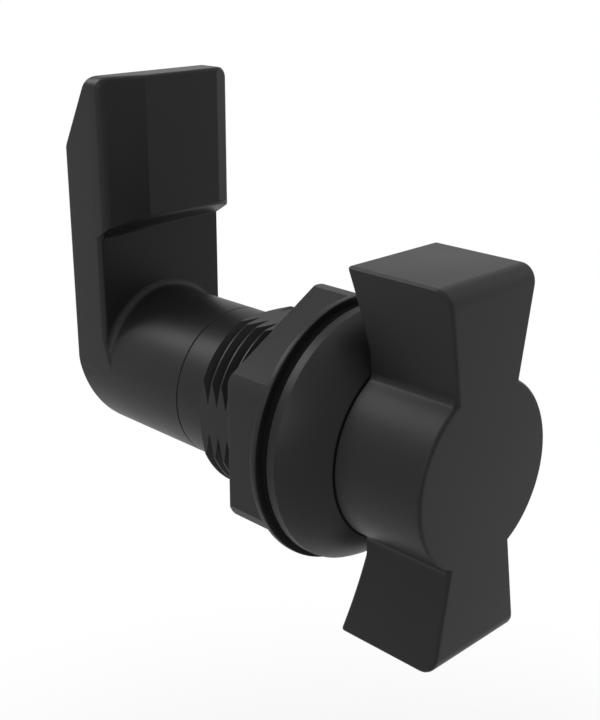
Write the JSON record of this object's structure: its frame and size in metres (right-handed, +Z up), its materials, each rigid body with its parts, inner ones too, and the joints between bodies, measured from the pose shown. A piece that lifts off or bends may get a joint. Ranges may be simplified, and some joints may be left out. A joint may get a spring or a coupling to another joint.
{
  "type": "quarter-turn cam latch",
  "caption": "Quarter-turn cam latch with a bow-tie wing knob, domed flange, flatted threaded barrel, hexagon nut and an upright cam with a lead-in catch.",
  "frame": {"origin": "on the latch axis, in the plane of the panel's outer face, where the gasket seats", "axes": "+Y along the latch axis into the cabinet, towards the cam; +Z up, along the cam's arm when closed; +X to the right seen from the knob"},
  "size_m": [0.0304, 0.0573, 0.0568],
  "materials": {
    "black_nylon": "satin moulded",
    "gasket_foam": "matte",
    "seal_rubber": "satin",
    "acetal": "satin",
    "zinc_steel": "zinc plated",
    "bright_steel": "polished",
    "spring_steel": "oiled"
  },
  "bodies": {
    "housing_body": {"housing": "black_nylon", "flange_gasket": "gasket_foam", "glide_washer": "acetal", "thrust_washer": "zinc_steel"},
    "latch_body": {"wing_knob": "black_nylon", "spindle": "zinc_steel", "spindle_o_ring": "seal_rubber", "detent_balls": "bright_steel", "detent_spring": "spring_steel", "retaining_ring": "spring_steel", "cam": "black_nylon", "cam_washer": "zinc_steel", "cam_lock_washer": "spring_steel", "cam_screw": "zinc_steel"},
    "nut_body": {"fixing_nut": "black_nylon"}
  },
  "joints": [
    {"name": "latch_turn", "type": "hinge", "parent": "housing_body", "child": "latch_body", "pos_m": [0, 0, 0], "axis": [0, 1, 0], "range_deg": [0, 90]},
    {"name": "nut_travel", "type": "slide", "parent": "housing_body", "child": "nut_body", "axis": [0, 1, 0], "range_m": [0, 0.0075]}
  ]
}
